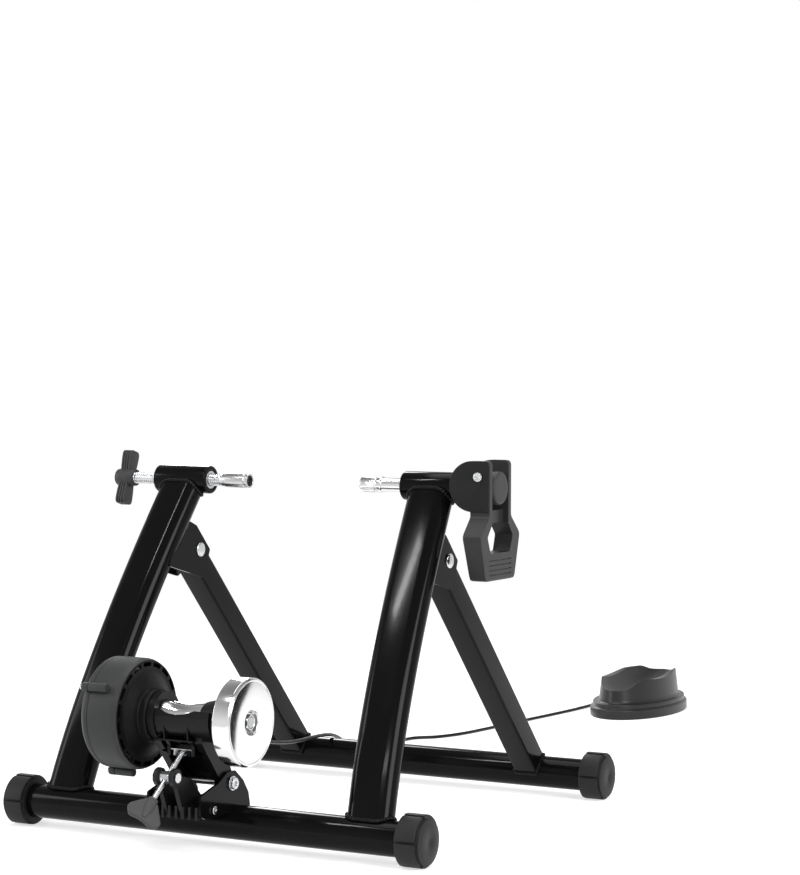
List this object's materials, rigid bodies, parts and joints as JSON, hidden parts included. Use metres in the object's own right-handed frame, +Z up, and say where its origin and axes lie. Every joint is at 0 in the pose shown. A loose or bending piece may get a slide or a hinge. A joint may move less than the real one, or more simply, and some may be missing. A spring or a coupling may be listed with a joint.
{
  "type": "turbo trainer",
  "caption": "Folding steel stand that clamps a bicycle's rear axle over a magnetic resistance roller with a flywheel, with a cable remote and a front wheel riser block.",
  "frame": {"origin": "on the floor, at the middle of the base of everything but the cable", "axes": "+Z up, X along the clamped axle with the clamp lever at +X, the rear of the stand faces -Y"},
  "size_m": [0.536, 1.5778, 0.4211],
  "materials": {
    "black_paint": "gloss powder coat",
    "black_plastic": "satin moulded nylon",
    "grey_plastic": "fine grained moulding",
    "lever_plastic": "satin moulding",
    "drum_plastic": "fine grained moulding",
    "foot_rubber": "matte",
    "cable_jacket": "smooth jacket",
    "zinc": "zinc plated",
    "steel": "plain machined steel",
    "polished_steel": "polished",
    "flywheel_chrome": "mirror bright",
    "rotor_aluminium": "machined",
    "magnet_iron": "nickel plated magnets on an iron ring"
  },
  "bodies": {
    "rear_stand": {"rear_tube": "black_paint", "left_upright": "black_paint", "right_upright": "black_paint", "left_head_tube": "black_paint", "right_head_tube": "black_paint", "left_pivot_bracket": "black_paint", "right_pivot_bracket": "black_paint", "left_pivot_pin": "zinc", "right_pivot_pin": "zinc", "left_thread_bush": "steel", "plunger_spring": "steel", "lever_housing": "black_plastic", "unit_bracket": "black_paint", "unit_base": "black_plastic", "yoke_pivot_bolt": "zinc", "yoke_pivot_nut": "zinc", "base_bolt": "zinc", "barrel_pin": "zinc", "remote_body": "black_plastic", "riser_block": "grey_plastic", "cable_run": "cable_jacket", "cable_coil": "cable_jacket"},
    "front_legs": {"front_tube": "black_paint", "left_leg": "black_paint", "right_leg": "black_paint", "left_leg_shoe": "black_paint", "right_leg_shoe": "black_paint"},
    "rear_left_foot": {"rear_left_foot": "foot_rubber"},
    "rear_right_foot": {"rear_right_foot": "foot_rubber"},
    "front_left_foot": {"front_left_foot": "foot_rubber"},
    "front_right_foot": {"front_right_foot": "foot_rubber"},
    "left_cup": {"left_cup": "zinc"},
    "left_screw": {"left_knob": "grey_plastic", "left_spindle": "zinc"},
    "clamp_lever": {"clamp_lever": "lever_plastic", "lever_side_plate": "lever_plastic", "lever_pin": "zinc"},
    "right_plunger": {"right_plunger": "polished_steel"},
    "adjuster_barrel": {"adjuster_barrel": "zinc"},
    "adjuster_screw": {"adjuster_screw": "zinc", "wing_knob": "grey_plastic"},
    "resistance_unit": {"yoke": "black_plastic", "left_bearing": "steel", "right_bearing": "steel", "drum_housing": "drum_plastic", "drum_cover": "drum_plastic", "drum_screw_bottom": "zinc", "drum_screw_rear": "zinc", "drum_screw_front": "zinc", "cable_boot": "foot_rubber"},
    "cross_nut": {"cross_nut": "zinc"},
    "rotor": {"roller": "polished_steel", "unit_shaft": "steel", "flywheel": "flywheel_chrome", "flywheel_nut": "zinc", "drum_rotor": "rotor_aluminium"},
    "magnet_carrier": {"magnet_carrier": "magnet_iron"},
    "remote_knob": {"remote_knob": "grey_plastic"},
    "remote_clamp": {"remote_clamp": "black_plastic", "remote_screw": "zinc"}
  },
  "joints": [
    {"name": "legs_fold", "type": "hinge", "parent": "rear_stand", "child": "front_legs", "pos_m": [0, -0.446, 0.305], "axis": [1, 0, 0], "range_deg": [-70, 0]},
    {"name": "rear_left_foot_turn", "type": "hinge", "parent": "rear_stand", "child": "rear_left_foot", "pos_m": [-0.253, -0.6455, 0.0275], "axis": [1, 0, 0], "continuous": true},
    {"name": "rear_right_foot_turn", "type": "hinge", "parent": "rear_stand", "child": "rear_right_foot", "pos_m": [0.253, -0.6455, 0.0275], "axis": [1, 0, 0], "continuous": true},
    {"name": "front_left_foot_turn", "type": "hinge", "parent": "front_legs", "child": "front_left_foot", "pos_m": [-0.253, -0.178, 0.0275], "axis": [1, 0, 0], "continuous": true},
    {"name": "front_right_foot_turn", "type": "hinge", "parent": "front_legs", "child": "front_right_foot", "pos_m": [0.253, -0.178, 0.0275], "axis": [1, 0, 0], "continuous": true},
    {"name": "left_cup_slide", "type": "slide", "parent": "rear_stand", "child": "left_cup", "axis": [1, 0, 0], "range_m": [-0.015, 0.02]},
    {"name": "left_screw_turn", "type": "hinge", "parent": "left_cup", "child": "left_screw", "pos_m": [-0.2515, -0.446, 0.3885], "axis": [1, 0, 0], "range_deg": [-1801, 2401]},
    {"name": "clamp_lever_swing", "type": "hinge", "parent": "rear_stand", "child": "clamp_lever", "pos_m": [0.238, -0.446, 0.4016], "axis": [0, -1, 0], "range_deg": [0, 105]},
    {"name": "plunger_slide", "type": "slide", "parent": "rear_stand", "child": "right_plunger", "axis": [1, 0, 0], "range_m": [0, 0.0111]},
    {"name": "barrel_turn", "type": "hinge", "parent": "rear_stand", "child": "adjuster_barrel", "pos_m": [-0.003, -0.73001, 0.086], "axis": [1, 0, 0], "range_deg": [-2.95, 0]},
    {"name": "adjuster_turn", "type": "hinge", "parent": "adjuster_barrel", "child": "adjuster_screw", "pos_m": [-0.003, -0.73001, 0.086], "axis": [0, 0.794, 0.6079], "range_deg": [0, 1441]},
    {"name": "unit_tilt", "type": "hinge", "parent": "rear_stand", "child": "resistance_unit", "pos_m": [0, -0.656, 0.0715], "axis": [1, 0, 0], "range_deg": [0, 8.11]},
    {"name": "cross_nut_turn", "type": "hinge", "parent": "resistance_unit", "child": "cross_nut", "pos_m": [-0.003, -0.698, 0.1105], "axis": [1, 0, 0], "range_deg": [-11.1, 0]},
    {"name": "rotor_spin", "type": "hinge", "parent": "resistance_unit", "child": "rotor", "pos_m": [0, -0.694, 0.1455], "axis": [1, 0, 0], "continuous": true},
    {"name": "magnet_slide", "type": "slide", "parent": "resistance_unit", "child": "magnet_carrier", "axis": [1, 0, 0], "range_m": [0, 0.004]},
    {"name": "remote_knob_turn", "type": "hinge", "parent": "rear_stand", "child": "remote_knob", "pos_m": [-0.071, 0.75999, 0.016], "axis": [1, 0, 0], "range_deg": [0, 150.5]},
    {"name": "remote_clamp_open", "type": "hinge", "parent": "rear_stand", "child": "remote_clamp", "pos_m": [-0.1049, 0.74009, 0.016], "axis": [0, 0, 1], "range_deg": [0, 60]}
  ],
  "couplings": [
    {"joint": "left_screw_turn", "follows": "left_cup_slide", "rad_per_m": 2094.4},
    {"joint": "plunger_slide", "follows": "clamp_lever_swing", "m_per_rad": 0.006},
    {"joint": "adjuster_turn", "follows": "unit_tilt", "ratio": 177.5},
    {"joint": "barrel_turn", "follows": "unit_tilt", "ratio": -0.36},
    {"joint": "cross_nut_turn", "follows": "unit_tilt", "ratio": -1.36},
    {"joint": "remote_knob_turn", "follows": "magnet_slide", "rad_per_m": 654.5}
  ]
}
